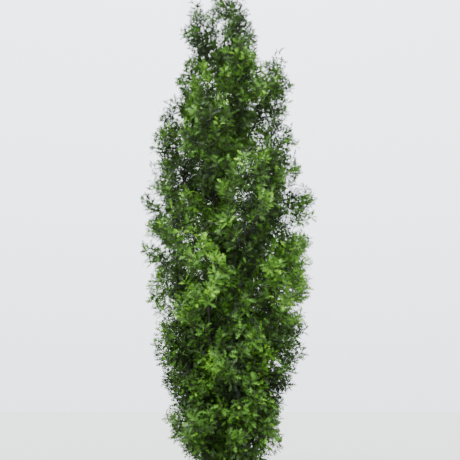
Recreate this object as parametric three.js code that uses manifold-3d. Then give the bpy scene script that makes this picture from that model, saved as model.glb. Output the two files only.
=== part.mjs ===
// A columnar pin oak (the narrow, upright garden form of Quercus palustris) in full summer leaf, 10.8 m tall.
// One straight trunk runs up through a narrow crown. Steep boughs leave it all round, and each carries one
// upright plume of foliage. Every plume grows in a space of its own: a flame-shaped outline, shared out with
// its neighbours along the planes half way between them.
// Units are millimetres, +Z is up, and the origin is at the middle of the trunk's flat cut at ground level.
// +X is the right of the tree seen from the front, and the front faces -Y.
import * as THREE from "three";
import { mergeVertices } from "three/addons/utils/BufferGeometryUtils.js";
import Module from "manifold-3d";

// The trunk, from the ground to the point where the topmost plume takes over.
const TRUNK_HEIGHT = 9400;
const TRUNK_FOOT_RADIUS = 132; // without the root flare
const TRUNK_TIP_RADIUS = 17;
const TRUNK_TAPER = 1.1; // 1 is a straight cone, and more thins the middle
const TRUNK_LEAN = -70; // sideways drift of the tip, towards -X
const TRUNK_SWAY = 28; // depth of the slow bends
const FLARE_RADIUS = 95; // added at the ground
const FLARE_HEIGHT = 190; // over which the flare fades
const TRUNK_SIDES = 15;
const TRUNK_RINGS = 12;
const TRUNK_RING_SPREAD = 1.9; // 1 spaces the rings evenly, and more crowds them at the foot
const ROOT_RIDGES = 5;
const ROOT_RIDGE_DEPTH = 0.22; // share of the radius, at the ground

// The crown in tiers, from the ground up. Each holds some plumes round the trunk, the first at a turn in
// degrees from +X. Reach and top are those of the tree's right and left side, and heart is the width of a
// plume's dense middle, as a share of the plume's.
const TIERS = [
  {
    name: "skirt",
    plumes: 5,
    turn: 24,
    width: 1300,
    length: 2050,
    reach: [1250, 1230],
    top: [2300, 2380],
    heart: 0.56,
  },
  {
    name: "lower",
    plumes: 5,
    turn: -6,
    width: 1420,
    length: 2250,
    reach: [1590, 1480],
    top: [3650, 3520],
    heart: 0.56,
  },
  {
    name: "waist",
    plumes: 5,
    turn: 36,
    width: 1520,
    length: 2400,
    reach: [1970, 1640],
    top: [4900, 4600],
    heart: 0.54,
  },
  {
    name: "middle",
    plumes: 5,
    turn: 0,
    width: 1540,
    length: 2500,
    reach: [1940, 1970],
    top: [6200, 5900],
    heart: 0.52,
  },
  {
    name: "shoulder",
    plumes: 5,
    turn: 36,
    width: 1440,
    length: 2500,
    reach: [1800, 1760],
    top: [7250, 7950],
    heart: 0.47,
  },
  {
    name: "upper",
    plumes: 5,
    turn: 0,
    width: 1260,
    length: 2350,
    reach: [1620, 1380],
    top: [9200, 8800],
    heart: 0.43,
  },
  {
    name: "crest",
    plumes: 3,
    turn: 180,
    width: 1080,
    length: 2200,
    reach: [980, 1140],
    top: [10150, 10600],
    heart: 0.42,
  },
  {
    name: "tip",
    plumes: 1,
    turn: 0,
    width: 1000,
    length: 1450,
    reach: [400, 400],
    top: [10830, 10830],
    heart: 0.42,
  },
];
const GROWN_ON_TRUNK = ["skirt", "upper", "crest"]; // their stems leave the trunk with no bough between
const TURN_JITTER = 6; // degrees
const HEIGHT_JITTER = 150;
const FOOT_INSET = 0.72; // a plume's foot and head stand this share of its middle's distance from the trunk
const HEAD_OUTSET = 1.2;
const PLUME_MIDDLE = 0.45; // share of its height
const FLAME_OPENING = 0.4; // powers of the height in a plume's outline: less is blunter
const FLAME_CLOSING = 0.75;

// The boughs.
const CROTCH_ANGLE = 34; // degrees between a bough's line and the trunk
const BOUGH_BEND = 0.14; // share of its length
const BOUGH_SHARE = 0.42; // of the trunk's radius where it leaves
const BOUGH_MOST_RADIUS = 44;
const BOUGH_TIP_SHARE = 0.6;
const BOUGH_SIDES = 6;
const BOUGH_RINGS = 4;

// The stem inside a plume.
const STEM_RADIUS = 20; // where it leaves the trunk itself
const STEM_TIP_RADIUS = 7;
const STEM_SIDES = 5;
const STEM_RINGS = 3;
const STEM_TOP = 0.88; // share of the plume's height
const STEM_BEND = 0.27; // share of the plume's height at which the stem turns upright
const STEM_CROTCH_ANGLE = 36;
const LOWEST_CROTCH = 330;

// Twigs stand round the stem by the golden angle, and blades on each twig. A blade stands for a spray of
// leaves.
const GOLDEN_ANGLE = 137.508;
const TWIGS = 7; // on each stem
const OUTWARD_TWIG = 2; // the twig, counted from 0, that points straight out of the crown
const LOWEST_TWIG = 0.16; // shares of the stem
const HIGHEST_TWIG = 0.9;
const TWIG_ANGLE = 50; // degrees from the stem
const TWIG_RADIUS = 10;
const TWIG_IN_BLADE = 0.25; // share of a blade's length that the twig at its root runs on into it
const TWIG_SHORTEST = 90;
const BLADE_LENGTH = 500;
const BLADE_SHORTEST = 0.6; // share of the full length
const BLADE_WIDTH = 0.5; // share of its length
const BLADE_THICKNESS = 10;
const BLADE_WIDEST = 0.42; // share of its length from the root
const BLADE_SLANT = 44; // degrees from the twig
const BLADE_SINK = 40; // how far the root runs into the wood
const TWIG_NODES = [0.55]; // shares of the twig where a blade stands on its side
const HEAD_NODE = 0.96; // share of the stem where the blade at the plume's head is rooted
const TWIG_END_ROOM = 0.9; // shares of a blade's length that are kept free past a twig's end
const TWIG_WANDER = 0.15; // share by which a twig's angle and a blade's length may differ
const AZIMUTH_WANDER = 0.35; // radians
const BLADE_WANDER = 0.2; // share by which a blade's slant may differ
const BLADE_ROLL = 0.8; // radians by which a blade may roll round its twig
const BLADE_LIFT = [0.4, 1.6]; // how far its face turns to the sky, against 1 outwards

// The dense heart of a plume.
const HEART_LENGTH = 0.74; // share of the plume's
const HEART_ROUGHNESS = 0.24;

// Where each kind of part starts in the seeded numbers. A twig's seed is its plume's times the span, plus
// its own number.
const LAYOUT_SEED = 1000;
const HEART_SEED = 5000;
const HEAD_SEED = 9000;
const TWIG_SEED_SPAN = 64;

// Clearances between solids.
const SEAT_GAP = 0.3; // a stem's foot from its bough, a bough from the trunk
const SPACE_MARGIN = 5; // a plume's parts from the edge of its space
const LIMB_CLEARANCE = 8; // twigs, blades and hearts from the limbs that they pass
const CLEARANCE_STEP = 25; // between the places where that is measured
const UPRIGHT_SHARE = 0.58; // heights count this much when a point is shared between two plumes

const wasm = await Module();
wasm.setup();

const bark = new THREE.MeshStandardMaterial({ color: "#6b6258", roughness: 0.9, metalness: 0 });
const boughBark = new THREE.MeshStandardMaterial({ color: "#5f584d", roughness: 0.85, metalness: 0 });
const leafGreens = ["#3f6b22", "#4a7a26", "#365f20", "#568a2c"].map(
  (color) => new THREE.MeshStandardMaterial({ color, roughness: 0.5, metalness: 0 }),
);

const { degToRad, lerp } = THREE.MathUtils;
const vector = (x, y, z) => new THREE.Vector3(x, y, z);
const cross = (a, b) => vector(0, 0, 0).crossVectors(a, b);

// A small seeded number generator, so that the tree grows the same way each time.
function seeded(seed) {
  let state = Math.imul(seed + 1, 2654435761) >>> 0;
  return () => {
    state = (Math.imul(state, 1664525) + 1013904223) >>> 0;
    return state / 4294967296;
  };
}

// A number drawn evenly from a share under to a share over one.
const about = (draw, share) => 1 + share * (2 * draw() - 1);

// Two directions square to a given one and to each other.
function crossAxes(along) {
  const reference = Math.abs(along.z) > 0.6 ? vector(1, 0, 0) : vector(0, 0, 1);
  const side = reference.addScaledVector(along, -reference.dot(along)).normalize();
  return { side, face: cross(along, side) };
}

// A direction turned away from another by an angle, at an azimuth round it.
function turnedFrom(heading, angle, azimuth) {
  const { side, face } = crossAxes(heading);
  const round = side.multiplyScalar(Math.cos(azimuth)).addScaledVector(face, Math.sin(azimuth));
  return heading.clone().multiplyScalar(Math.cos(angle)).addScaledVector(round, Math.sin(angle));
}

// A unit cylinder or cone laid along a line of centres, vertex by vertex. Its rings lie flat where level is
// true, and square to the line where it isn't.
function laidAlong(geometry, centreAt, radiusAt, level = false) {
  const position = geometry.attributes.position;
  const step = 1e-3;
  for (let i = 0; i < position.count; i++) {
    const share = position.getY(i) + 0.5;
    const before = centreAt(Math.max(0, share - step));
    const after = centreAt(Math.min(1, share + step));
    const { side, face } = crossAxes(level ? vector(0, 0, 1) : after.sub(before).normalize());
    const across = position.getX(i);
    const back = -position.getZ(i);
    const radius = radiusAt(share, Math.atan2(back, across));
    const moved = centreAt(share)
      .addScaledVector(side, across * radius)
      .addScaledVector(face, back * radius);
    position.setXYZ(i, moved.x, moved.y, moved.z);
  }
  return geometry;
}

const unitCylinder = (sides, rings) => new THREE.CylinderGeometry(1, 1, 1, sides, rings);

// A closed geometry as a solid that can be joined and cut.
function solidOf(geometry) {
  geometry.deleteAttribute("normal");
  geometry.deleteAttribute("uv");
  const merged = mergeVertices(geometry);
  return new wasm.Manifold(
    new wasm.Mesh({
      numProp: 3,
      vertProperties: merged.attributes.position.array,
      triVerts: new Uint32Array(merged.index.array),
    }),
  );
}

// The largest body of a solid, without the loose scraps that cutting can leave.
function largestBody(solid) {
  return solid.decompose().reduce((most, body) => (body.volume() > most.volume() ? body : most));
}

// A solid as a named mesh, placed at its foot.
function meshOf(name, solid, foot, material) {
  const { vertProperties, triVerts } = solid.translate(-foot.x, -foot.y, -foot.z).getMesh();
  const geometry = new THREE.BufferGeometry();
  geometry.setAttribute("position", new THREE.BufferAttribute(new Float32Array(vertProperties), 3));
  geometry.setIndex(new THREE.BufferAttribute(new Uint32Array(triVerts), 1));
  geometry.computeVertexNormals();
  const mesh = new THREE.Mesh(geometry, material);
  mesh.name = name;
  mesh.position.copy(foot);
  return mesh;
}

// A limb: its solid, its solid grown for cutting others clear of it, and short straight pieces of it for
// measuring how near something passes.
function limb(centreAt, radiusAt, solidGrownBy, owner) {
  const count = 16;
  const pieces = [];
  for (let i = 0; i < count; i++) {
    const line = new THREE.Line3(centreAt(i / count), centreAt((i + 1) / count));
    pieces.push({ line, radius: radiusAt(i / count) });
  }
  return { owner, pieces, solid: solidGrownBy(0), cleared: solidGrownBy(LIMB_CLEARANCE), solidGrownBy };
}

function taperedLimb(curve, startRadius, endRadius, sides, rings, owner) {
  const centreAt = (share) => curve.getPoint(share);
  const radiusAt = (share) => lerp(startRadius, endRadius, share);
  const solidGrownBy = (extra) => {
    const past = (share) => (share === 0 ? -extra : share === 1 ? extra : 0);
    const grownCentreAt = (share) => centreAt(share).addScaledVector(curve.getTangent(share), past(share));
    return solidOf(laidAlong(unitCylinder(sides, rings), grownCentreAt, (share) => radiusAt(share) + extra));
  };
  return limb(centreAt, radiusAt, solidGrownBy, owner);
}

// Whether a straight piece of some thickness stays clear of every limb but its owner's.
function clearOfLimbs(start, end, radius, limbs, owner) {
  const steps = Math.ceil(start.distanceTo(end) / CLEARANCE_STEP);
  const nearest = vector(0, 0, 0);
  for (let i = 0; i <= steps; i++) {
    const point = start.clone().lerp(end, i / steps);
    for (const other of limbs) {
      if (other.owner === owner) continue;
      for (const piece of other.pieces) {
        piece.line.closestPointToPoint(point, true, nearest);
        if (nearest.distanceTo(point) < piece.radius + radius + LIMB_CLEARANCE) return false;
      }
    }
  }
  return true;
}

// The trunk.
function trunkCentre(height) {
  const share = height / TRUNK_HEIGHT;
  return vector(
    TRUNK_LEAN * share * share + TRUNK_SWAY * Math.sin(7 * share) * share,
    TRUNK_SWAY * Math.sin(5 * share + 2) * share,
    height,
  );
}

function trunkRadius(height) {
  const share = Math.max(0, 1 - height / TRUNK_HEIGHT);
  const shaft = TRUNK_TIP_RADIUS + (TRUNK_FOOT_RADIUS - TRUNK_TIP_RADIUS) * share ** TRUNK_TAPER;
  return shaft + FLARE_RADIUS * Math.exp(-height / FLARE_HEIGHT);
}

// Its rings stand closer together near the ground, where the root flare turns fastest.
function trunkLimb() {
  const heightAt = (share) => TRUNK_HEIGHT * share ** TRUNK_RING_SPREAD;
  const ridged = (height, angle) => {
    const ridge = ROOT_RIDGE_DEPTH * Math.exp(-height / FLARE_HEIGHT) * Math.cos(ROOT_RIDGES * angle);
    return trunkRadius(height) * (1 + ridge);
  };
  const centreAt = (share) => trunkCentre(heightAt(share));
  const solidGrownBy = (extra) => {
    const radiusAt = (share, angle) => ridged(heightAt(share), angle) + extra;
    return solidOf(laidAlong(unitCylinder(TRUNK_SIDES, TRUNK_RINGS), centreAt, radiusAt, true));
  };
  return limb(centreAt, (share) => ridged(heightAt(share), 0), solidGrownBy, "trunk");
}

// How wide a plume is at a share of its height, as a share of its full width: it opens fast from its foot, is
// full at about a third, and closes to a pointed head.
function flame(share) {
  if (share <= 0 || share >= 1) return 0;
  const opened = (at) => at ** FLAME_OPENING * (1 - at) ** FLAME_CLOSING;
  return opened(share) / opened(FLAME_OPENING / (FLAME_OPENING + FLAME_CLOSING));
}

// Where every plume stands: its foot, its head, and the middle that it is shared out by.
function layOutPlumes() {
  const plumes = [];
  TIERS.forEach((tier) => {
    for (let k = 0; k < tier.plumes; k++) {
      const seed = plumes.length;
      const draw = seeded(LAYOUT_SEED + seed);
      const azimuth = degToRad(tier.turn + (360 * k) / tier.plumes + TURN_JITTER * (2 * draw() - 1));
      const rightness = (1 + Math.cos(azimuth)) / 2;
      const reach = lerp(tier.reach[1], tier.reach[0], rightness);
      const rise = HEIGHT_JITTER * (2 * draw() - 1) * (1 - Math.abs(Math.cos(azimuth)));
      const top = lerp(tier.top[1], tier.top[0], rightness) + rise;
      const away = Math.max(0, reach - tier.width / 2);
      const out = vector(Math.cos(azimuth), Math.sin(azimuth), 0);
      const foot = out.clone().multiplyScalar(away * FOOT_INSET).setZ(top - tier.length);
      const head = out.clone().multiplyScalar(away * HEAD_OUTSET).setZ(top);
      if (tier.name === "tip") foot.copy(trunkCentre(TRUNK_HEIGHT));
      const name = tier.plumes > 1 ? `${tier.name}_${k + 1}` : tier.name;
      const middle = foot.clone().lerp(head, PLUME_MIDDLE);
      plumes.push({ name, tier, seed, azimuth, out, foot, head, middle });
    }
  });
  return plumes;
}

// Whether a point lies in a plume's own space.
function inSpace(point, plume, plumes) {
  const share = (point.z - plume.foot.z) / (plume.head.z - plume.foot.z);
  const axis = plume.foot.clone().lerp(plume.head, share);
  const aside = Math.hypot(point.x - axis.x, point.y - axis.y);
  if (aside > (plume.tier.width / 2) * flame(share)) return false;
  return plumes.every((other) => {
    if (other === plume) return true;
    const between = other.middle.clone().sub(plume.middle);
    const offset = point.clone().sub(other.middle.clone().lerp(plume.middle, 0.5));
    between.z *= UPRIGHT_SHARE;
    offset.z *= UPRIGHT_SHARE;
    return offset.dot(between) / between.length() < -SPACE_MARGIN;
  });
}

// How far one can go from a start in a direction, up to a limit, and stay in the plume's space.
function reachInSpace(start, direction, limit, plume, plumes) {
  const step = 20;
  let reach = 0;
  while (reach < limit && inSpace(start.clone().addScaledVector(direction, reach + step), plume, plumes)) {
    reach += step;
  }
  return reach;
}

// A bough leaves the trunk at the crotch angle and bends up into its plume's foot.
function crotchBelow(point, angle) {
  const away = Math.hypot(point.x, point.y);
  const height = point.z - away / Math.tan(degToRad(angle));
  return trunkCentre(Math.max(LOWEST_CROTCH, height));
}

function boughCurve(plume) {
  const crotch = crotchBelow(plume.foot, CROTCH_ANGLE);
  const bend = crotch.clone().lerp(plume.foot, 0.5);
  bend.addScaledVector(plume.out, BOUGH_BEND * plume.foot.distanceTo(crotch));
  return new THREE.QuadraticBezierCurve3(crotch, bend, plume.foot);
}

// A stem goes on from its bough's tip, or from the trunk's, and bends up to the plume's head. On a plume with
// no bough it starts inside the trunk.
function stemCurve(plume, carrier) {
  const head = plume.foot.clone().lerp(plume.head, STEM_TOP);
  if (carrier) {
    const start = plume.foot.clone().addScaledVector(carrier, SEAT_GAP);
    const bend = start.clone().addScaledVector(carrier, STEM_BEND * plume.tier.length);
    return new THREE.QuadraticBezierCurve3(start, bend, head);
  }
  const inner = plume.foot.clone().lerp(plume.head, STEM_BEND);
  return new THREE.QuadraticBezierCurve3(crotchBelow(inner, STEM_CROTCH_ANGLE), inner, head);
}

// A straight three-sided twig that tapers to nothing inside the blade at its tip.
function twigSolid(start, end) {
  const centreAt = (share) => start.clone().lerp(end, share);
  return solidOf(laidAlong(new THREE.ConeGeometry(1, 1, 3, 1), centreAt, () => TWIG_RADIUS));
}

// A thin diamond blade with eight faces, from its root to its tip.
function bladeSolid(root, heading, face, length) {
  const geometry = new THREE.OctahedronGeometry(1, 0);
  const position = geometry.attributes.position;
  const across = cross(face, heading).normalize();
  const normal = cross(heading, across);
  for (let i = 0; i < position.count; i++) {
    const end = position.getX(i);
    const reach = end > 0.5 ? length : end < -0.5 ? 0 : length * BLADE_WIDEST;
    const moved = root
      .clone()
      .addScaledVector(heading, reach)
      .addScaledVector(across, (position.getY(i) * length * BLADE_WIDTH) / 2)
      .addScaledVector(normal, (position.getZ(i) * BLADE_THICKNESS) / 2);
    position.setXYZ(i, moved.x, moved.y, moved.z);
  }
  return solidOf(geometry);
}

// A blade at a node, cut short where the plume's space ends, or nothing where it would leave that space even
// so, or would touch a limb.
function growBlade(node, heading, draw, plume, plumes, limbs) {
  const wanted = BLADE_LENGTH * about(draw, TWIG_WANDER);
  const length = BLADE_SINK + reachInSpace(node, heading, wanted - BLADE_SINK, plume, plumes);
  if (length < BLADE_SHORTEST * BLADE_LENGTH) return [];
  const axis = plume.foot.clone().lerp(plume.head, 0.5);
  const face = node.clone().sub(axis).setZ(0).normalize().setZ(lerp(...BLADE_LIFT, draw()));
  const root = node.clone().addScaledVector(heading, -BLADE_SINK);
  const tip = root.clone().addScaledVector(heading, length);
  const waist = root.clone().lerp(tip, BLADE_WIDEST);
  const halfWidth = (length * BLADE_WIDTH) / 2;
  const across = cross(face, heading).normalize().multiplyScalar(halfWidth);
  const corners = [tip, waist.clone().add(across), waist.clone().sub(across)];
  if (!corners.every((corner) => inSpace(corner, plume, plumes))) return [];
  if (!clearOfLimbs(root, tip, halfWidth, limbs, plume.name)) return [];
  return [bladeSolid(root, heading, face, length)];
}

// A twig on the stem, with a blade at its tip and one at each node on its side.
function growTwig(k, stem, plume, plumes, limbs) {
  const draw = seeded(TWIG_SEED_SPAN * plume.seed + k);
  const share = lerp(LOWEST_TWIG, HIGHEST_TWIG, k / (TWIGS - 1));
  const start = stem.getPoint(share);
  const turn = degToRad(GOLDEN_ANGLE * (k - OUTWARD_TWIG)) + AZIMUTH_WANDER * (2 * draw() - 1);
  const angle = degToRad(TWIG_ANGLE) * about(draw, TWIG_WANDER);
  const direction = turnedFrom(stem.getTangent(share), angle, plume.azimuth + turn);
  const reach = reachInSpace(start, direction, plume.tier.width, plume, plumes);
  const length = Math.max(TWIG_SHORTEST, reach - TWIG_END_ROOM * BLADE_LENGTH);
  const end = start.clone().addScaledVector(direction, length);
  if (reach < length || !clearOfLimbs(start, end, TWIG_RADIUS, limbs, plume.name)) return [];
  const blades = growBlade(end, direction, draw, plume, plumes, limbs);
  const tip = end.clone().addScaledVector(direction, blades.length * TWIG_IN_BLADE * BLADE_LENGTH);
  const solids = [twigSolid(start, tip), ...blades];
  TWIG_NODES.forEach((nodeShare, j) => {
    const slant = degToRad(BLADE_SLANT) * about(draw, BLADE_WANDER);
    const roll = Math.PI * j + BLADE_ROLL * (2 * draw() - 1);
    const sideways = turnedFrom(direction, slant, roll);
    solids.push(...growBlade(start.clone().lerp(end, nodeShare), sideways, draw, plume, plumes, limbs));
  });
  return solids;
}

// The heart of a plume, where its leaves are too close to see through: a rough spindle round the stem.
function heartSolid(stem, plume, plumes, limbs) {
  const draw = seeded(HEART_SEED + plume.seed);
  const geometry = new THREE.OctahedronGeometry(1, 1);
  geometry.deleteAttribute("normal");
  geometry.deleteAttribute("uv");
  const merged = mergeVertices(geometry);
  const position = merged.attributes.position;
  const middle = stem.getPoint(0.5);
  for (let i = 0; i < position.count; i++) {
    const wanted = vector(position.getX(i), position.getY(i), position.getZ(i));
    const width = (plume.tier.heart * plume.tier.width) / 2;
    const length = (HEART_LENGTH * plume.tier.length) / 2;
    wanted.multiply(vector(width, width, length)).multiplyScalar(about(draw, HEART_ROUGHNESS));
    const reach = reachInSpace(middle, wanted.clone().normalize(), wanted.length(), plume, plumes);
    const moved = middle.clone().add(wanted.setLength(Math.max(reach, 2 * STEM_RADIUS)));
    position.setXYZ(i, moved.x, moved.y, moved.z);
  }
  const others = limbs.filter((other) => other.owner !== plume.name);
  return others.reduce((left, other) => left.subtract(other.cleared), solidOf(merged));
}

// One plume of foliage: its stem, its twigs with their blades, the blade at its head, and its heart.
function growPlume(plume, plumes, limbs) {
  const own = limbs.find((other) => other.owner === plume.name);
  const solids = [own.solid, heartSolid(plume.stem, plume, plumes, limbs)];
  for (let k = 0; k < TWIGS; k++) {
    solids.push(...growTwig(k, plume.stem, plume, plumes, limbs));
  }
  const headNode = plume.stem.getPoint(HEAD_NODE);
  const headward = plume.head.clone().sub(headNode).normalize();
  solids.push(...growBlade(headNode, headward, seeded(HEAD_SEED + plume.seed), plume, plumes, limbs));
  return solids.reduce((whole, piece) => whole.add(piece));
}

// The whole tree.
function growTree() {
  const tree = new THREE.Group();
  tree.name = "pin_oak";
  const ground = vector(0, 0, 0);
  const trunk = trunkLimb();
  const trunkCutter = trunk.solidGrownBy(SEAT_GAP);
  tree.add(meshOf("trunk", trunk.solid, ground, bark));

  const limbs = [trunk];
  const plumes = layOutPlumes();
  plumes.forEach((plume) => {
    let carrier = null;
    let stemRadius = STEM_RADIUS;
    if (plume.tier.name === "tip") {
      carrier = vector(0, 0, 1);
      stemRadius = TRUNK_TIP_RADIUS;
    } else if (!GROWN_ON_TRUNK.includes(plume.tier.name)) {
      const curve = boughCurve(plume);
      const startRadius = Math.min(BOUGH_MOST_RADIUS, BOUGH_SHARE * trunkRadius(curve.v0.z));
      stemRadius = startRadius * BOUGH_TIP_SHARE;
      carrier = curve.getTangent(1);
      const owner = `bough_${plume.name}`;
      const bough = taperedLimb(curve, startRadius, stemRadius, BOUGH_SIDES, BOUGH_RINGS, owner);
      limbs.push(bough);
      tree.add(meshOf(bough.owner, largestBody(bough.solid.subtract(trunkCutter)), ground, boughBark));
    }
    plume.stem = stemCurve(plume, carrier);
    limbs.push(taperedLimb(plume.stem, stemRadius, STEM_TIP_RADIUS, STEM_SIDES, STEM_RINGS, plume.name));
  });

  plumes.forEach((plume, i) => {
    const grown = growPlume(plume, plumes, limbs);
    const seated = GROWN_ON_TRUNK.includes(plume.tier.name) ? grown.subtract(trunkCutter) : grown;
    const green = leafGreens[i % leafGreens.length];
    tree.add(meshOf(`foliage_${plume.name}`, largestBody(seated), plume.foot, green));
  });
  return tree;
}

export default growTree();
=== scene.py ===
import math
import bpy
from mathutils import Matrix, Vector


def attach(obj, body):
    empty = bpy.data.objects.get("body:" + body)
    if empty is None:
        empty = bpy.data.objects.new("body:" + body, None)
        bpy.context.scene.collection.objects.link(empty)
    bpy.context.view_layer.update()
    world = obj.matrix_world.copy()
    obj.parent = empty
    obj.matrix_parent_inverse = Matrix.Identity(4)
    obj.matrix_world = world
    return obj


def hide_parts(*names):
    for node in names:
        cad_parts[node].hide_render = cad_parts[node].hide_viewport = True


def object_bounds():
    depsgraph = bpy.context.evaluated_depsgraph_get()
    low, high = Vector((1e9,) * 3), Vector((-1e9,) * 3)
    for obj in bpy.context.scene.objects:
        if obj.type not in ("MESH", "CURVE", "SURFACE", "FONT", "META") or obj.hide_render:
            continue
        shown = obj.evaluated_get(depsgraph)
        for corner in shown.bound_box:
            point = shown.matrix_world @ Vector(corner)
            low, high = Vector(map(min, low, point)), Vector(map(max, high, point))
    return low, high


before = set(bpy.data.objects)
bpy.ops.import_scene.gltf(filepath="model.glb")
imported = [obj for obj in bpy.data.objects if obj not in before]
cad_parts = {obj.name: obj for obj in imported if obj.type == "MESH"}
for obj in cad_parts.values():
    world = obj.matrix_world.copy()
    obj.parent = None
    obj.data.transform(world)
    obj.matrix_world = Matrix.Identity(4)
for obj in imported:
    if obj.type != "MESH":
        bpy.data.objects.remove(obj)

# An upright pin oak in full summer leaf, 10.8 m tall, dressed over its CAD frame. Metres, +Z up, the origin
# in the middle of the trunk's cut at ground level, and the front of the tree towards -Y.
from types import SimpleNamespace

import bmesh
import bpy
import numpy as np
from mathutils import noise

cad_box = [list(corner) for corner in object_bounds()]

# The trunk. One straight stem of living oak, 26 cm thick above its root flare, that runs up to its end at
# 9.4 m, in grey-brown bark whose furrows are deep at the foot and fade out higher up. It is a cylinder cut
# into rings and laid along the trunk's line, with its surface pressed in along the furrows.
TRUNK_HEIGHT = 9.4
TRUNK_FOOT_RADIUS = 0.132  # without the root flare
TRUNK_TIP_RADIUS = 0.017
TRUNK_TAPER = 1.1
TRUNK_LEAN = -0.07
TRUNK_SWAY = 0.028
SWAY_SIDEWAYS = 7  # radians of slow bends, from the foot to the end
SWAY_TO_THE_BACK = 5
SWAY_TO_THE_BACK_START = 2
FLARE_RADIUS = 0.095
FLARE_HEIGHT = 0.19
ROOT_RIDGES = 5
ROOT_RIDGE_DEPTH = 0.22
TRUNK_SIDES = 60
TRUNK_RINGS = 330
TRUNK_RING_SPREAD = 1.5  # 1 spaces the rings evenly, and more crowds them at the foot
FURROW_SPACING = 0.034
FURROW_LENGTH = 0.26
FURROW_SHARPNESS = 0.22  # share of the noise's swing that a furrow takes up
FURROW_DEPTH_AT_FOOT = 0.0085
FURROW_DEPTH_HIGH_UP = 0.0014
FURROWS_FADE_OVER = 1.9


def between(low, high, share):
    return low + (high - low) * share


def trunk_centre(height):
    share = height / TRUNK_HEIGHT
    x = TRUNK_LEAN * share * share + TRUNK_SWAY * math.sin(SWAY_SIDEWAYS * share) * share
    y = TRUNK_SWAY * math.sin(SWAY_TO_THE_BACK * share + SWAY_TO_THE_BACK_START) * share
    return np.array([x, y, height])


def trunk_radius(height):
    share = max(0.0, 1 - height / TRUNK_HEIGHT)
    shaft = between(TRUNK_TIP_RADIUS, TRUNK_FOOT_RADIUS, share**TRUNK_TAPER)
    return shaft + FLARE_RADIUS * math.exp(-height / FLARE_HEIGHT)


def add_unit_limb(made, sides, rings, tip=1.0):
    """Adds a closed cylinder of radius 1, from 0 to 1 on Z and cut into rings, and gives its corners."""
    before = len(made.verts)
    bmesh.ops.create_cone(made, cap_ends=True, segments=sides, radius1=1.0, radius2=tip, depth=1.0)
    fresh = list(made.verts)[before:]
    bmesh.ops.translate(made, verts=fresh, vec=(0.0, 0.0, 0.5))
    linked = {edge for vert in fresh for edge in vert.link_edges}
    upright = [edge for edge in linked if abs(edge.verts[0].co.z - edge.verts[1].co.z) > 0.5]
    upright.sort(key=lambda edge: min(edge.verts[0].index, edge.verts[1].index))
    bmesh.ops.subdivide_edges(made, edges=upright, cuts=rings - 1, use_grid_fill=True)
    return list(made.verts)[before:]


def piece_of(made, name, material):
    """A finished bmesh as a smooth piece of the tree that rides on its one body."""
    bmesh.ops.recalc_face_normals(made, faces=made.faces)
    mesh = bpy.data.meshes.new(name)
    made.to_mesh(mesh)
    made.free()
    mesh.shade_smooth()
    mesh.materials.append(material)
    piece = bpy.data.objects.new(name, mesh)
    bpy.context.collection.objects.link(piece)
    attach(piece, "root")
    return piece


def linear(hex_colour):
    """An sRGB hex colour as linear red, green, blue and alpha."""
    parts = [int(hex_colour[i : i + 2], 16) / 255 for i in (1, 3, 5)]
    return [p / 12.92 if p <= 0.04045 else ((p + 0.055) / 1.055) ** 2.4 for p in parts] + [1.0]


def add_node(tree, kind, inputs=None, **settings):
    """Adds a node with its settings. Each input is a value, or another node's output to link to it."""
    node = tree.nodes.new(kind)
    for name, value in settings.items():
        setattr(node, name, value)
    for key, value in (inputs or {}).items():
        if isinstance(value, bpy.types.NodeSocket):
            tree.links.new(value, node.inputs[key])
        else:
            node.inputs[key].default_value = value
    return node


def new_material(name):
    material = bpy.data.materials.new(name)
    material.use_nodes = True
    material.node_tree.nodes.clear()
    return material, material.node_tree


# Oak bark is dry cork, split as the wood under it grows. It scatters light with hardly any gloss. Its plates
# are grey, its furrows brown, and both carry pale dry bloom in blotches several furrows wide.
BLOOM_SIZE = 7  # furrows


def split_bark(name, plate, furrow, bloom, furrow_mm, stretch, relief_mm):
    material, tree = new_material(name)
    place = add_node(tree, "ShaderNodeTexCoord").outputs["Object"]
    per_metre = 1000 / furrow_mm
    upward = add_node(tree, "ShaderNodeMapping", {"Vector": place, "Scale": (1.0, 1.0, 1 / stretch)})
    splits = add_node(
        tree,
        "ShaderNodeTexNoise",
        {"Vector": upward.outputs["Vector"], "Scale": per_metre, "Detail": 6.0, "Roughness": 0.62},
    ).outputs["Fac"]
    patches = add_node(
        tree, "ShaderNodeTexNoise", {"Vector": place, "Scale": per_metre / BLOOM_SIZE, "Detail": 4.0}
    ).outputs["Fac"]
    raised = add_node(
        tree, "ShaderNodeMapRange", {"Value": splits, "From Min": 0.38, "From Max": 0.58}
    ).outputs["Result"]
    bloomed = add_node(
        tree, "ShaderNodeMapRange", {"Value": patches, "From Min": 0.5, "From Max": 0.7, "To Max": 0.55}
    ).outputs["Result"]
    # A mix node takes its colours at sockets 6 and 7, and gives their mix at socket 2.
    cork = add_node(
        tree,
        "ShaderNodeMix",
        {0: raised, 6: linear(furrow), 7: linear(plate)},
        data_type="RGBA",
    ).outputs[2]
    dusted = add_node(
        tree, "ShaderNodeMix", {0: bloomed, 6: cork, 7: linear(bloom)}, data_type="RGBA"
    ).outputs[2]
    bump = add_node(tree, "ShaderNodeBump", {"Height": splits, "Distance": relief_mm / 1000})
    surface = add_node(
        tree,
        "ShaderNodeBsdfPrincipled",
        {
            "Base Color": dusted,
            "Roughness": 0.92,
            "Specular IOR Level": 0.25,
            "Normal": bump.outputs["Normal"],
        },
    )
    add_node(tree, "ShaderNodeOutputMaterial", {"Surface": surface.outputs["BSDF"]})
    return material


def pressed_in(x, y, z, spacing, length, depth):
    """How far bark is pressed in at a place: deep along winding upright lines, and not between them."""
    swing = abs(noise.noise((x / spacing, y / spacing, z / length)))
    return depth * max(0.0, 1 - swing / FURROW_SHARPNESS)


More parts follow.
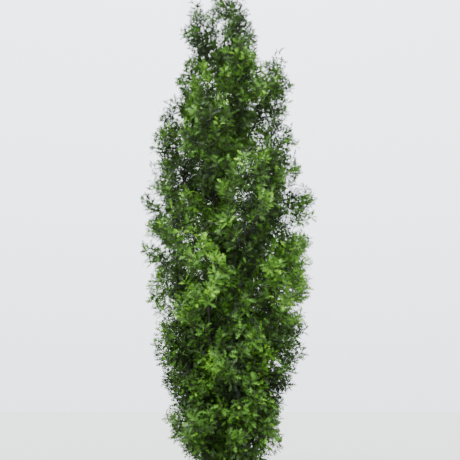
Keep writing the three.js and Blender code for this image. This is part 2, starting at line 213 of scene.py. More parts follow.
made = bmesh.new()
for vert in add_unit_limb(made, TRUNK_SIDES, TRUNK_RINGS):
    height = TRUNK_HEIGHT * vert.co.z**TRUNK_RING_SPREAD
    angle = math.atan2(vert.co.y, vert.co.x)
    ridge = ROOT_RIDGE_DEPTH * math.exp(-height / FLARE_HEIGHT) * math.cos(ROOT_RIDGES * angle)
    radius = trunk_radius(height) * (1 + ridge)
    x = radius * math.cos(angle)
    y = radius * math.sin(angle)
    deepest = between(FURROW_DEPTH_HIGH_UP, FURROW_DEPTH_AT_FOOT, math.exp(-height / FURROWS_FADE_OVER))
    kept = 1 - pressed_in(x, y, height, FURROW_SPACING, FURROW_LENGTH, deepest) / radius
    vert.co = trunk_centre(height) + np.array([x * kept, y * kept, 0.0])
# The trunk's bark colours are set dark as painted shade, for bark that stands in the crown's shade.
old_bark = split_bark(
    "oak_bark_furrowed", "#453f38", "#1f1b17", "#5d5952", furrow_mm=16, stretch=6, relief_mm=4
)
trunk = piece_of(made, "trunk_with_bark", old_bark)
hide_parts("trunk")

# The boughs. Twenty steep limbs of the same wood, up to 9 cm thick past the swollen collar at the trunk,
# which end where they enter their masses of foliage. Their bark is young, with faint wrinkles. All the
# plumes of foliage are laid out here, because a bough runs to the foot of its plume.
TIERS = (
    # name, plumes, turn in degrees, width, length, reach right and left, top right and left
    ("skirt", 5, 24, 1.3, 2.05, (1.25, 1.23), (2.3, 2.38)),
    ("lower", 5, -6, 1.42, 2.25, (1.59, 1.48), (3.65, 3.52)),
    ("waist", 5, 36, 1.52, 2.4, (1.97, 1.64), (4.9, 4.6)),
    ("middle", 5, 0, 1.54, 2.5, (1.94, 1.97), (6.2, 5.9)),
    ("shoulder", 5, 36, 1.44, 2.5, (1.8, 1.76), (7.25, 7.95)),
    ("upper", 5, 0, 1.26, 2.35, (1.62, 1.38), (9.2, 8.8)),
    ("crest", 3, 180, 1.08, 2.2, (0.98, 1.14), (10.15, 10.6)),
    ("tip", 1, 0, 1.0, 1.45, (0.4, 0.4), (10.83, 10.83)),
)
GROWN_ON_TRUNK = ("skirt", "upper", "crest")  # their stems leave the trunk with no bough between
BLUNT_TIERS = ("skirt", "lower", "waist", "middle")
TURN_JITTER = 6  # degrees
HEIGHT_JITTER = 0.15
FOOT_INSET = 0.72
HEAD_OUTSET = 1.2
PLUME_MIDDLE = 0.45
FLAME_OPENING = 0.4
FLAME_CLOSING = 0.75
LOW_FLAME_CLOSING = 0.52  # low down the heads are blunt, and close up with the tier above
SPACE_MARGIN = 0.005
INNER_EASE = 0.22
ENDS_EASE = 0.03  # share of a plume's height
UPRIGHT_SHARE = 0.58
CROTCH_ANGLE = 34  # degrees
LOWEST_CROTCH = 0.33
BOUGH_BEND = 0.14
BOUGH_SHARE = 0.42
BOUGH_MOST_RADIUS = 0.044
BOUGH_TIP_SHARE = 0.6
BOUGH_SIDES = 14
BOUGH_RINGS = 38
COLLAR_SWELLING = 0.55  # share of the bough's radius
COLLAR_LENGTH = 0.07
BOUGH_WRINKLE_SPACING = 0.012
BOUGH_WRINKLE_LENGTH = 0.03
BOUGH_WRINKLE_DEPTH = 0.0012
BOUGH_SWELLING = 0.07  # share of the radius that it thickens and thins by along its length
BOUGH_SWELL_LENGTH = 0.16
STEEP_FROM = 0.6  # rise of a unit direction, past which its cross axes are taken from X and not from Z
LAYOUT_SEED = 1000
SEED_FACTOR = 2654435761
DRAW_FACTOR = 1664525
DRAW_STEP = 1013904223
DRAW_RANGE = 2**32


def seeded(seed):
    """The tree's own seeded numbers: each call gives the next one from 0 to 1."""
    state = (seed + 1) * SEED_FACTOR % DRAW_RANGE

    def draw():
        nonlocal state
        state = (state * DRAW_FACTOR + DRAW_STEP) % DRAW_RANGE
        return state / DRAW_RANGE

    return draw


def lay_out_plumes():
    """Where each plume of foliage stands: its foot, its head, and the middle that it is shared out by."""
    plumes = []
    for tier, count, turn, width, length, reaches, tops in TIERS:
        for k in range(count):
            draw = seeded(LAYOUT_SEED + len(plumes))
            azimuth = math.radians(turn + 360 * k / count + TURN_JITTER * (2 * draw() - 1))
            out = np.array([math.cos(azimuth), math.sin(azimuth), 0.0])
            rightness = (1 + out[0]) / 2
            away = max(0.0, between(reaches[1], reaches[0], rightness) - width / 2)
            rise = HEIGHT_JITTER * (2 * draw() - 1) * (1 - abs(out[0]))
            top = between(tops[1], tops[0], rightness) + rise
            foot = out * away * FOOT_INSET + [0.0, 0.0, top - length]
            head = out * away * HEAD_OUTSET + [0.0, 0.0, top]
            if tier == "tip":
                foot = trunk_centre(TRUNK_HEIGHT)
            plume = SimpleNamespace(tier=tier, width=width, length=length, azimuth=azimuth, out=out)
            plume.name = f"{tier}_{k + 1}" if count > 1 else tier
            plume.seed = len(plumes)
            plume.foot = foot
            plume.head = head
            plume.middle = between(foot, head, PLUME_MIDDLE)
            plumes.append(plume)
    flattened = np.array([1.0, 1.0, UPRIGHT_SHARE])
    for plume in plumes:
        others = [other for other in plumes if other is not plume]
        plume.halfway = np.array([(other.middle + plume.middle) / 2 for other in others])
        towards = np.array([(other.middle - plume.middle) * flattened for other in others])
        plume.towards = flattened * towards / np.linalg.norm(towards, axis=1, keepdims=True)
    return plumes


def room_in(plume, share):
    """How far a plume reaches from its own axis at a share of its height."""
    closing = LOW_FLAME_CLOSING if plume.tier in BLUNT_TIERS else FLAME_CLOSING
    share = np.clip(share, 0.0, 1.0)
    fullest = FLAME_OPENING / (FLAME_OPENING + closing)
    most = fullest**FLAME_OPENING * (1 - fullest) ** closing
    return plume.width / 2 * share**FLAME_OPENING * (1 - share) ** closing / most


def in_space(points, plume, ease=0.0):
    """Which points lie in a plume's own space, up to the ease outside it, or in the gap to the trunk."""
    share = (points[:, 2] - plume.foot[2]) / (plume.head[2] - plume.foot[2])
    aside = (points - plume.foot - (plume.head - plume.foot) * share[:, None])[:, :2]
    inward = np.clip(-aside @ plume.out[:2] / (plume.width / 2), 0.0, 1.0)
    room = room_in(plume, share) + ease + INNER_EASE * inward
    within = (np.hypot(*aside.T) <= room) & (share > -ENDS_EASE) & (share < 1 + ENDS_EASE)
    past = np.einsum("ijk,jk->ij", points[:, None, :] - plume.halfway, plume.towards)
    return within & (past.max(axis=1) < ease - SPACE_MARGIN)


def crotch_below(point, angle):
    height = point[2] - math.hypot(point[0], point[1]) / math.tan(math.radians(angle))
    return trunk_centre(max(LOWEST_CROTCH, height))


def on_curve(curve, share):
    """The point at a share of a curve of three control points."""
    start, bend, end = curve
    return (1 - share) ** 2 * start + 2 * share * (1 - share) * bend + share**2 * end


def heading_on(curve, share):
    start, bend, end = curve
    heading = (1 - share) * (bend - start) + share * (end - bend)
    return heading / np.linalg.norm(heading)


def cross_axes(along):
    """Two directions square to each given one and to each other."""
    steep = np.abs(along[..., 2:]) > STEEP_FROM
    reference = np.where(steep, [1.0, 0.0, 0.0], [0.0, 0.0, 1.0])
    side = reference - along * np.sum(reference * along, axis=-1, keepdims=True)
    side /= np.linalg.norm(side, axis=-1, keepdims=True)
    return side, np.cross(along, side)


plumes = lay_out_plumes()
made = bmesh.new()
for plume in plumes:
    plume.bough = None
    if plume.tier == "tip" or plume.tier in GROWN_ON_TRUNK:
        continue
    crotch = crotch_below(plume.foot, CROTCH_ANGLE)
    length = np.linalg.norm(plume.foot - crotch)
    plume.bough = (crotch, (crotch + plume.foot) / 2 + plume.out * BOUGH_BEND * length, plume.foot)
    plume.bough_radius = min(BOUGH_MOST_RADIUS, BOUGH_SHARE * trunk_radius(crotch[2]))
    trunk_here = trunk_radius(crotch[2])
    for vert in add_unit_limb(made, BOUGH_SIDES, BOUGH_RINGS):
        share = vert.co.z
        centre = on_curve(plume.bough, share)
        side, face = cross_axes(heading_on(plume.bough, share))
        swollen = COLLAR_SWELLING * math.exp(-max(0.0, share * length - trunk_here) / COLLAR_LENGTH)
        waves = BOUGH_SWELLING * noise.noise(centre / BOUGH_SWELL_LENGTH)
        radius = plume.bough_radius * between(1.0, BOUGH_TIP_SHARE, share) * (1 + swollen + waves)
        spot = centre + (side * vert.co.x + face * vert.co.y) * radius
        radius -= pressed_in(*spot, BOUGH_WRINKLE_SPACING, BOUGH_WRINKLE_LENGTH, BOUGH_WRINKLE_DEPTH)
        vert.co = centre + (side * vert.co.x + face * vert.co.y) * radius
# The boughs' bark colours are set dark as painted shade, for bark inside the crown.
young_bark = split_bark(
    "oak_bark_young", "#36332c", "#211f1b", "#494740", furrow_mm=9, stretch=2.5, relief_mm=1.5
)
boughs = piece_of(made, "boughs_with_bark", young_bark)
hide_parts(*[f"bough_{plume.name}" for plume in plumes if plume.bough])

# The stems and twigs. In each mass one stem goes on from its bough or the trunk and bears twigs by the
# golden angle. They bear side twigs by the same rule, and all of them bear this year's leafy shoots. Each
# is a thin tapering tube, made by laying one pattern of corners along every curve at once.
STEM_RADIUS = 0.02
STEM_TIP_RADIUS = 0.004
STEM_TOP = 0.88
STEM_BEND = 0.27
STEM_CROTCH_ANGLE = 36
GOLDEN_ANGLE = math.radians(137.508)
TWIGS = 22
OUTWARD_TWIG = 2
LOWEST_TWIG = 0.04
HIGHEST_TWIG = 0.95
TWIG_ANGLE_LOW = 80  # degrees from the stem
TWIG_ANGLE_HIGH = 40
TWIG_RADIUS = 0.0075
TWIG_TIP_RADIUS = 0.0028
TWIG_SHORTEST = 0.05
TWIG_LIFT = 0.3  # share of its length that a twig's end turns up by
TWIG_BEND_AT = 0.55  # share of its length, along the way that it sets out
TWIG_END_AT = 0.9
LEAFY_RIM = 0.13  # room that the shoots and leaves past a twig's end take up
SIDE_TWIG_SPACING = 0.075
SIDE_TWIG_ANGLE = 48
SIDE_TWIG_SHARE = 0.5  # of its twig's length
SIDE_TWIG_RADIUS = 0.0034
SIDE_TWIG_SHORTEST = 0.04
SIDE_TWIGS_FROM = 0.2  # share of the twig that bears none
SIDE_TWIGS_OVER = 0.8  # share that bears them
SPUR_SPACING = 0.07
SPUR_ANGLE = 62
SPUR_LENGTHS = (0.12, 0.4)
SPUR_HEIGHTS = (0.5, 9.2)
SPUR_MOST_BARE = 0.6  # share of the spur next to its limb that may bear no shoots
SPURS_UP_STEM = 0.4
SPURS_UP_HIGH_STEM = 0.75  # on the plumes that grow from the trunk itself near its top
LEADERS = 6  # long shoots that stand up out of a plume's head, with their leaves wide apart
LEADERS_FROM = 0.7  # share of the stem
LEADER_SLANT = 32  # degrees from the stem, at most
LEADER_LENGTHS = (0.3, 0.52)
SHOOT_SPACING = 0.054
SHOOT_ANGLE = 40
SHOOT_ANGLE_LEAST = 0.7  # share of that angle
SHOOT_ANGLE_SPREAD = 0.6
WHOLE_TURN = 6.28  # radians, of which luck takes a share
SHOOT_RADIUS = 0.0019
SHOOT_LENGTHS = (0.07, 0.16)
SHOOTS_UP_STEM = 0.55  # share of the stem that bears none, and so on for the twigs
SHOOTS_UP_TWIG = 0.4
SHOOTS_UP_SIDE_TWIG = 0.35
STEM_SHOOTS_OVER = 0.5  # share of the plume's length that the stem's shoots are counted over
TWIG_WANDER = 0.15  # share by which an angle may differ
AZIMUTH_WANDER = 0.35
TWIG_SEED = 3000  # where each kind of growth starts in the seeded numbers
SPUR_SEED = 5000
LEADER_SEED = 7000
TRUNK_SPUR_SEED = 9000


def turned_from(heading, angle, azimuth):
    """A direction turned away from another by an angle, at an azimuth round it."""
    side, face = cross_axes(heading)
    spoke = side * math.cos(azimuth) + face * math.sin(azimuth)
    return heading * math.cos(angle) + spoke * math.sin(angle)


def reach_in_space(start, heading, limit, plume, step=0.02):
    """How far one can go from a start and stay in the plume's space."""
    steps = np.arange(1, int(limit / step) + 2) * step
    inside = in_space(start + steps[:, None] * heading, plume)
    return limit if inside.all() else steps[np.argmin(inside)] - step


def lifted(start, heading, length):
    """A twig's curve: it sets out along its heading and turns up towards the light."""
    up = np.array([0.0, 0.0, TWIG_LIFT * length])
    return start, start + heading * TWIG_BEND_AT * length, start + heading * TWIG_END_AT * length + up


def stem_of(plume):
    head = between(plume.foot, plume.head, STEM_TOP)
    if plume.tier in GROWN_ON_TRUNK:
        inner = between(plume.foot, plume.head, STEM_BEND)
        return (crotch_below(inner, STEM_CROTCH_ANGLE), inner, head), STEM_RADIUS
    if plume.tier == "tip":
        carrier = np.array([0.0, 0.0, 1.0])
        radius = TRUNK_TIP_RADIUS
    else:
        carrier = heading_on(plume.bough, 1.0)
        radius = plume.bough_radius * BOUGH_TIP_SHARE
    return (plume.foot, plume.foot + carrier * STEM_BEND * plume.length, head), radius


def grow_shoots(curve, length, first, plume, draw):
    """Leafy shoots along a twig from a share of it on, and one that ends it."""
    count = int((1 - first) * length / SHOOT_SPACING)
    for k in range(count + 1):
        share = 1.0 if k == count else first + (1 - first) * k / count
        angle = 0.0
        if k < count:
            angle = math.radians(SHOOT_ANGLE) * (SHOOT_ANGLE_LEAST + SHOOT_ANGLE_SPREAD * draw())
        azimuth = GOLDEN_ANGLE * k + WHOLE_TURN * draw()
        heading = turned_from(heading_on(curve, share), angle, azimuth)
        plume.shoots.append((curve, share, heading, between(*SHOOT_LENGTHS, draw()), draw(), draw()))


def grow_plume(plume):
    plume.stem, plume.stem_radius = stem_of(plume)
    draw = seeded(TWIG_SEED + plume.seed)
    grow_shoots(plume.stem, STEM_SHOOTS_OVER * plume.length, SHOOTS_UP_STEM, plume, draw)
    for k in range(TWIGS):
        share = between(LOWEST_TWIG, HIGHEST_TWIG, k / (TWIGS - 1))
        start = on_curve(plume.stem, share)
        azimuth = plume.azimuth + GOLDEN_ANGLE * (k - OUTWARD_TWIG) + AZIMUTH_WANDER * (2 * draw() - 1)
        angle = math.radians(between(TWIG_ANGLE_LOW, TWIG_ANGLE_HIGH, share))
        angle *= 1 + TWIG_WANDER * (2 * draw() - 1)
        heading = turned_from(heading_on(plume.stem, share), angle, azimuth)
        length = reach_in_space(start, heading, plume.width, plume) - LEAFY_RIM
        if length < TWIG_SHORTEST:
            continue
        twig = lifted(start, heading, length)
        plume.twigs.append(twig)
        grow_shoots(twig, length, SHOOTS_UP_TWIG, plume, draw)
        for j in range(int(SIDE_TWIGS_OVER * length / SIDE_TWIG_SPACING)):
            at = SIDE_TWIGS_FROM + j * SIDE_TWIG_SPACING / length
            place = on_curve(twig, at)
            slant = math.radians(SIDE_TWIG_ANGLE) * (1 + TWIG_WANDER * (2 * draw() - 1))
            side = turned_from(heading_on(twig, at), slant, GOLDEN_ANGLE * j + WHOLE_TURN * draw())
            reach = reach_in_space(place, side, SIDE_TWIG_SHARE * length, plume) - LEAFY_RIM / 2
            if reach > SIDE_TWIG_SHORTEST:
                side_twig = lifted(place, side, reach)
                plume.side_twigs.append(side_twig)
                grow_shoots(side_twig, reach, SHOOTS_UP_SIDE_TWIG, plume, draw)


def grow_spurs(curve, radius, length, until, owner_of, draw):
    """Short leafy side twigs up to a share of a limb, each given to the plume that the owner rule names."""
    for k in range(int(until * length / SPUR_SPACING)):
        share = (k + 0.5) * SPUR_SPACING / length
        heading = turned_from(heading_on(curve, share), math.radians(SPUR_ANGLE), GOLDEN_ANGLE * k + draw())
        reach = between(*SPUR_LENGTHS, draw())
        spur = lifted(on_curve(curve, share), heading, reach)
        owner = owner_of(spur[-1])
        owner.side_twigs.append(spur)
        bare = min(SPUR_MOST_BARE, radius / reach)
        count = int((1 - bare) * reach / SHOOT_SPACING)
        for j in range(count + 1):
            at = 1.0 if j == count else bare + (1 - bare) * j / count
            angle = 0.0 if j == count else math.radians(SHOOT_ANGLE)
            azimuth = GOLDEN_ANGLE * j + WHOLE_TURN * draw()
            pointing = turned_from(heading_on(spur, at), angle, azimuth)
            owner.spur_shoots.append((spur, at, pointing, between(*SHOOT_LENGTHS, draw()), draw(), draw()))


def grow_leaders(plume, draw):
    """The long shoots at the upper end of a plume's stem, none of them past the crown's top."""
    for k in range(LEADERS):
        share = between(LEADERS_FROM, 1.0, (k + 0.5) / LEADERS)
        slant = math.radians(LEADER_SLANT) * draw()
        heading = turned_from(heading_on(plume.stem, share), slant, GOLDEN_ANGLE * k)
        headroom = cad_box[1][2] - on_curve(plume.stem, share)[2]
        length = min(between(*LEADER_LENGTHS, draw()), headroom)
        plume.spur_shoots.append((plume.stem, share, heading, length, draw(), draw()))


def pattern_of(made):
    """A small bmesh as arrays of its corners and its triangles."""
    bmesh.ops.triangulate(made, faces=made.faces)
    made.verts.index_update()
    corners = np.array([vert.co for vert in made.verts])
    triangles = np.array([[vert.index for vert in face.verts] for face in made.faces])
    made.free()
    return corners, triangles


def repeated(triangles, corner_count, times):
    """The triangles of a pattern, repeated for as many copies of its corners."""
    return (triangles + corner_count * np.arange(times)[:, None, None]).reshape(-1, 3)


def laid_on_curves(curves, radii, sides, rings, tip=1.0):
    """Tapering tubes on curves, as arrays of corners and triangles."""
    made = bmesh.new()
    add_unit_limb(made, sides, rings, tip)
    pattern, triangles = pattern_of(made)
    start, bend, end = (part[:, None, :] for part in np.swapaxes(np.array(curves), 0, 1))
    share = pattern[:, 2][:, None]
    centre = on_curve((start, bend, end), share)
    heading = (1 - share) * (bend - start) + share * (end - bend)
    side, face = cross_axes(heading / np.linalg.norm(heading, axis=-1, keepdims=True))
    radius = np.array(radii)[:, 0, None, None] * (1 - share) + np.array(radii)[:, 1, None, None] * share
    corners = centre + (side * pattern[:, 0, None] + face * pattern[:, 1, None]) * radius
    return corners.reshape(-1, 3), repeated(triangles, len(pattern), len(curves))


def piece_of_arrays(name, parts, materials, dealt=None, smooth=True):
    """One piece from arrays of corners and triangles, with a material dealt to each triangle."""
    offsets = np.cumsum([0] + [len(corners) for corners, _ in parts])
    corners = np.concatenate([corners for corners, _ in parts])
    triangles = np.concatenate([tris + offset for (_, tris), offset in zip(parts, offsets)])
    mesh = bpy.data.meshes.new(name)
    mesh.vertices.add(len(corners))
    mesh.vertices.foreach_set("co", corners.astype(np.float32).ravel())
    mesh.loops.add(triangles.size)
    mesh.loops.foreach_set("vertex_index", triangles.astype(np.int32).ravel())
    mesh.polygons.add(len(triangles))
    mesh.polygons.foreach_set("loop_start", np.arange(0, triangles.size, 3, dtype=np.int32))
    mesh.polygons.foreach_set("use_smooth", np.full(len(triangles), smooth))
    for material in materials:
        mesh.materials.append(material)
    if dealt is not None:
        mesh.polygons.foreach_set("material_index", dealt.astype(np.int32))
    mesh.update(calc_edges=True)
    piece = bpy.data.objects.new(name, mesh)
    bpy.context.collection.objects.link(piece)
    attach(piece, "root")
    return piece


def nearest_plume(point):
    return min(plumes, key=lambda plume: np.linalg.norm(point - plume.middle))


for plume in plumes:
    plume.twigs = []
    plume.side_twigs = []
    plume.shoots = []
    plume.spur_shoots = []
for plume in plumes:
    grow_plume(plume)
    draw = seeded(SPUR_SEED + plume.seed)
    if plume.bough:
        bough_length = np.linalg.norm(plume.bough[2] - plume.bough[0])
        grow_spurs(plume.bough, plume.bough_radius, bough_length, 1.0, lambda _: plume, draw)
    grow_leaders(plume, seeded(LEADER_SEED + plume.seed))
    if plume.tier != "tip":
        stem_length = np.linalg.norm(plume.stem[2] - plume.stem[0])
        until = SPURS_UP_HIGH_STEM if plume.tier in ("upper", "crest") else SPURS_UP_STEM
        grow_spurs(plume.stem, plume.stem_radius, stem_length, until, lambda _: plume, draw)
axis = tuple(trunk_centre(between(*SPUR_HEIGHTS, share)) for share in (0.0, 0.5, 1.0))
axis_length = SPUR_HEIGHTS[1] - SPUR_HEIGHTS[0]
grow_spurs(axis, TRUNK_FOOT_RADIUS, axis_length, 1.0, nearest_plume, seeded(TRUNK_SPUR_SEED))
foliage_nodes = {plume.name: f"foliage_{plume.name}" for plume in plumes}

# The leaves. Pin oak leaves, 10 to 14 cm long and half glossy on top, cut into three pairs of pointed lobes
# and one at the end, and folded along the midrib. They stand round each shoot by the golden angle, crowd to
# its end and face the sky. Fewer shoots live on towards the trunk, where the crown shades them.
LEAF_LENGTHS = (0.1, 0.14)
LEAF_FOLD = 0.3
LEAF_CURL = 0.16
LEAF_STALK = 0.25  # share of the blade's length
LEAF_STALK_WIDTH = 0.018
LEAF_STALK_TOP = 0.02  # how far the stalk's wide end reaches up the blade
LEAF_NOTCHES = (0.0, 0.22, 0.5, 0.74, 1.0)  # where the gaps between the lobes meet the midrib
LOBE_POINTS = ((0.2, 0.22), (0.36, 0.58), (0.24, 0.86), (0.07, 0.86))
MIDRIB_MERGE = 1e-4
LEAVES_ON_SHOOT = 8
LOWEST_LEAF = 0.25  # share of the shoot
LEAF_CROWDING = 0.6  # under 1 crowds the leaves to the shoot's end
LEAF_ANGLE_LOW = 84  # degrees from the shoot
LEAF_ANGLE_AT_TIP = 30
LEAF_ANGLE_WANDER = (0.8, 1.2)
LEAF_TURN_WANDER = 0.4  # radians round the shoot
LEAF_DROOP = 0.12
LEAF_OVERHANG = 0.04  # past the edge of the plume's space
LEAF_SKYWARD = 0.8  # how far a leaf faces the sky, against its own tilt
LEAF_OUTWARD = 0.35
LEAF_TILT = 0.7
SHOOT_LIFT = 0.5
SHOOTS_KEPT = {  # share of each tier's shoots
    "skirt": 1.0,
    "lower": 1.0,
    "waist": 0.72,
    "middle": 0.62,
    "shoulder": 0.81,
    "upper": 0.76,
    "crest": 0.57,
    "tip": 0.63,
}
AXIS_SHOOTS_KEPT = 0.8  # share of those, at the plume's own axis
OUTWARD_GAIN = 0.8  # how much that share grows by over half the plume's width outwards
INNER_SHOOTS_KEPT = 0.4  # the least it falls to, on the side of the trunk
HEAD_THINNING = 0.5  # share of the shoots lost at a plume's head, but not on the blunt ones low down
THINNED_FROM = 0.75  # share of the plume's height
LIGHTNESS = 0.37  # of a leaf before its luck, its patch and its painted light and shade are added; it deals the leaf its green
SHOOT_LUCK = 0.42  # how much lighter luck makes a shoot, at most
LEAF_LUCK = 0.22  # how much lighter or darker it makes a leaf
PATCH_LIGHTNESS = 0.1
# Leaves are dealt lighter greens towards a plume's head, partly for fresh growth and partly as painted light
# from above.
HEIGHT_FRESHNESS_AND_PAINTED_LIGHT = 0.08
SPUR_SHADE = 0.1
DEPTH_PAINTED_SHADE_AND_LIGHT = 0.45  # painted shade and light: how much darker the leaves are dealt towards a plume's own middle
PAINTED_SHADE_ENDS_AT = 0.8  # share of the way to the rim, past which the painted shade turns to painted light, lighter at the rim
# Painted light and shade by tier: some tiers' leaves are dealt lighter greens and others darker, for how
# light falls on them.
TIER_PAINTED_LIGHT_AND_SHADE = {"skirt": 0.02, "lower": -0.05, "waist": 0.13, "shoulder": -0.02, "upper": 0.07}
PATCH_SIZE = 0.3  # of the crown's lighter and darker patches
GREEN_STEPS = (0.3, 0.6, 0.84)  # lightness at which one green gives way to the next
BOX_EASE = 0.05  # how far a leaf's tip may stand out of the CAD model's box
LEAF_SEED = 11


def leaf_pattern():
    """A leaf on its stalk, along the XY plane: its blade runs from 0 to 1 on Y, folded along the midrib."""
    made = bmesh.new()
    midrib = [made.verts.new((0.0, y, 0.0)) for y in LEAF_NOTCHES]
    for k, point in enumerate(LOBE_POINTS):
        lobe = [midrib[k], made.verts.new((*point, 0.0)), midrib[k + 1]]
        bmesh.ops.contextual_create(made, geom=lobe)
    half = list(made.verts) + list(made.faces)
    bmesh.ops.mirror(made, geom=half, axis="X", merge_dist=MIDRIB_MERGE)
    bmesh.ops.recalc_face_normals(made, faces=made.faces)
    corners = [(-LEAF_STALK_WIDTH, LEAF_STALK_TOP), (LEAF_STALK_WIDTH, LEAF_STALK_TOP), (0.0, -LEAF_STALK)]
    stalk = [made.verts.new((x, y, 0.0)) for x, y in corners]
    bmesh.ops.contextual_create(made, geom=stalk)
    for vert in made.verts:
        vert.co.z = LEAF_FOLD * abs(vert.co.x) - LEAF_CURL * vert.co.y**2
    return pattern_of(made)


def unit(vectors):
    return vectors / np.linalg.norm(vectors, axis=-1, keepdims=True)


leaf_corners, leaf_triangles = leaf_pattern()
leaf_draws = np.random.RandomState(LEAF_SEED)


def leaves_of(plume):
    """The plume's leaves: corners, triangles, and the green that each triangle is dealt."""
    borne = plume.shoots + plume.spur_shoots
    starts = np.array([on_curve(curve, share) for curve, share, *_ in borne])
    headings = unit(np.array([shoot[2] for shoot in borne]) + [0.0, 0.0, SHOOT_LIFT])
    lengths = np.array([shoot[3] for shoot in borne])
    luck = np.array([shoot[4:] for shoot in borne])
    on_spur = np.arange(len(borne)) >= len(plume.shoots)
    height = (starts[:, 2] - plume.foot[2]) / (plume.head[2] - plume.foot[2])
    axis = plume.foot + (plume.head - plume.foot) * height[:, None]
    outwards = (starts - axis) @ plume.out / (plume.width / 2)
    depth = np.hypot(*(starts - axis)[:, :2].T) / (room_in(plume, height) + LEAF_OVERHANG)
    exposed = np.clip(AXIS_SHOOTS_KEPT + OUTWARD_GAIN * outwards, INNER_SHOOTS_KEPT, 1.0)
    exposed = exposed * SHOOTS_KEPT[plume.tier]
    if plume.tier not in BLUNT_TIERS:
        near_head = np.clip((height - THINNED_FROM) / (1 - THINNED_FROM), 0.0, 1.0)
        exposed *= 1 - HEAD_THINNING * near_head
    leafy = on_spur | ((luck[:, 0] < exposed) & in_space(starts, plume, LEAF_OVERHANG))
    plume.shoot_curves = []
    for start, heading, length in zip(starts[leafy], headings[leafy], lengths[leafy]):
        plume.shoot_curves.append((start, start + heading * length / 2, start + heading * length))
    starts, headings, lengths, luck, height, depth, on_spur = (
        part[leafy] for part in (starts, headings, lengths, luck, height, depth, on_spur)
    )
    # Lighter greens at the rim are painted light and the darkest deep inside painted shade; the head's are
    # fresh growth and painted light.
    patches = np.array([noise.noise(start / PATCH_SIZE) for start in starts])
    lightness = LIGHTNESS + TIER_PAINTED_LIGHT_AND_SHADE.get(plume.tier, 0.0)
    lightness = lightness + SHOOT_LUCK * luck[:, 1] + PATCH_LIGHTNESS * patches + HEIGHT_FRESHNESS_AND_PAINTED_LIGHT * height
    lightness += DEPTH_PAINTED_SHADE_AND_LIGHT * (np.clip(depth, 0.0, 1.0) - PAINTED_SHADE_ENDS_AT)
    lightness[on_spur] -= SPUR_SHADE

    count = LEAVES_ON_SHOOT
    order = np.tile(np.arange(count), len(starts))
    start, heading, length = (np.repeat(part, count, axis=0) for part in (starts, headings, lengths))
    share = LOWEST_LEAF + (1 - LOWEST_LEAF) * (order / (count - 1)) ** LEAF_CROWDING
    number = len(order)
    azimuth = GOLDEN_ANGLE * order + np.repeat(luck[:, 1] * WHOLE_TURN, count)
    azimuth = azimuth + leaf_draws.uniform(-LEAF_TURN_WANDER, LEAF_TURN_WANDER, number)
    angle = np.radians(between(LEAF_ANGLE_LOW, LEAF_ANGLE_AT_TIP, order / (count - 1)))
    angle = angle * leaf_draws.uniform(*LEAF_ANGLE_WANDER, number)
    side, face = cross_axes(heading)
    spoke = side * np.cos(azimuth)[:, None] + face * np.sin(azimuth)[:, None]
    pointing = heading * np.cos(angle)[:, None] + spoke * np.sin(angle)[:, None]
    pointing[:, 2] -= LEAF_DROOP
    pointing = unit(pointing)
    skyward = np.array([0.0, 0.0, LEAF_SKYWARD]) + LEAF_OUTWARD * plume.out
    skyward = skyward + leaf_draws.normal(0.0, LEAF_TILT, (number, 3))
    normal = unit(skyward - pointing * np.sum(skyward * pointing, axis=1, keepdims=True))
    across = np.cross(pointing, normal)
    size = leaf_draws.uniform(*LEAF_LENGTHS, number)[:, None]
    base = start + heading * (length * share)[:, None] + pointing * size * LEAF_STALK
    tips = base + pointing * size
    kept = in_space(tips, plume, LEAF_OVERHANG) & in_space(base, plume, LEAF_OVERHANG)
    kept |= np.repeat(on_spur, count)
    low, high = np.array(cad_box[0]) - BOX_EASE, np.array(cad_box[1]) + BOX_EASE
    kept &= ((tips > low) & (tips < high)).all(axis=1)
    axes = np.stack([across, pointing, normal], axis=1)[kept] * size[kept][:, None]
    corners = (base[kept][:, None, :] + leaf_corners @ axes).reshape(-1, 3)
    triangles = repeated(leaf_triangles, len(leaf_corners), int(kept.sum()))
    lightness = np.repeat(lightness, count) + leaf_draws.uniform(-LEAF_LUCK, LEAF_LUCK, number)
    dealt = np.repeat(np.digitize(lightness, GREEN_STEPS)[kept], len(leaf_triangles))
    return corners, triangles, dealt


# An oak leaf is thin waxed tissue: its top has a soft sheen, and some of the light that falls on it passes
# through and glows yellower underneath. Each green is a plain colour, dealt out by shoot with some luck for
# every leaf on it, and partly as painted light and shade: lighter at a plume's rim, darker deep inside.
def waxed_leaf(name, colour, glow, thinness):
    material, tree = new_material(name)
    blade = add_node(
        tree,
        "ShaderNodeBsdfPrincipled",
        {"Base Color": linear(colour), "Roughness": 0.45, "Specular IOR Level": 0.25},
    )
    tissue = add_node(tree, "ShaderNodeBsdfTranslucent", {"Color": linear(glow)})
    leaf = add_node(
        tree,
        "ShaderNodeMixShader",
        {"Fac": thinness, 1: blade.outputs["BSDF"], 2: tissue.outputs["BSDF"]},
    )
    add_node(tree, "ShaderNodeOutputMaterial", {"Surface": leaf.outputs["Shader"]})
    return material


leaf_greens = [
    waxed_leaf("oak_leaf_deep_green", "#15230c", "#283d0b", thinness=0.06),
    waxed_leaf("oak_leaf_green", "#2d4814", "#426212", thinness=0.08),
    waxed_leaf("oak_leaf_light_green", "#487422", "#648a1c", thinness=0.12),
    # The lightest green stands for fresh growth and also for painted light at the plumes' rims.
    waxed_leaf("oak_leaf_fresh_green_and_painted_light", "#71a431", "#8ab428", thinness=0.16),
]
# Each tier's leaves are one piece, and the tip's go with the crest's.
for tier in ("skirt", "lower", "waist", "middle", "shoulder", "upper", "crest"):
    tiers = ("crest", "tip") if tier == "crest" else (tier,)
    members = [plume for plume in plumes if plume.tier in tiers]
    grown = [leaves_of(plume) for plume in members]
    dealt = np.concatenate([greens for _, _, greens in grown])
    parts = [(corners, triangles) for corners, triangles, _ in grown]
    leaves = piece_of_arrays(f"leaves_{tier}", parts, leaf_greens, dealt, smooth=False)
    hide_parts(*[foliage_nodes[plume.name] for plume in members])

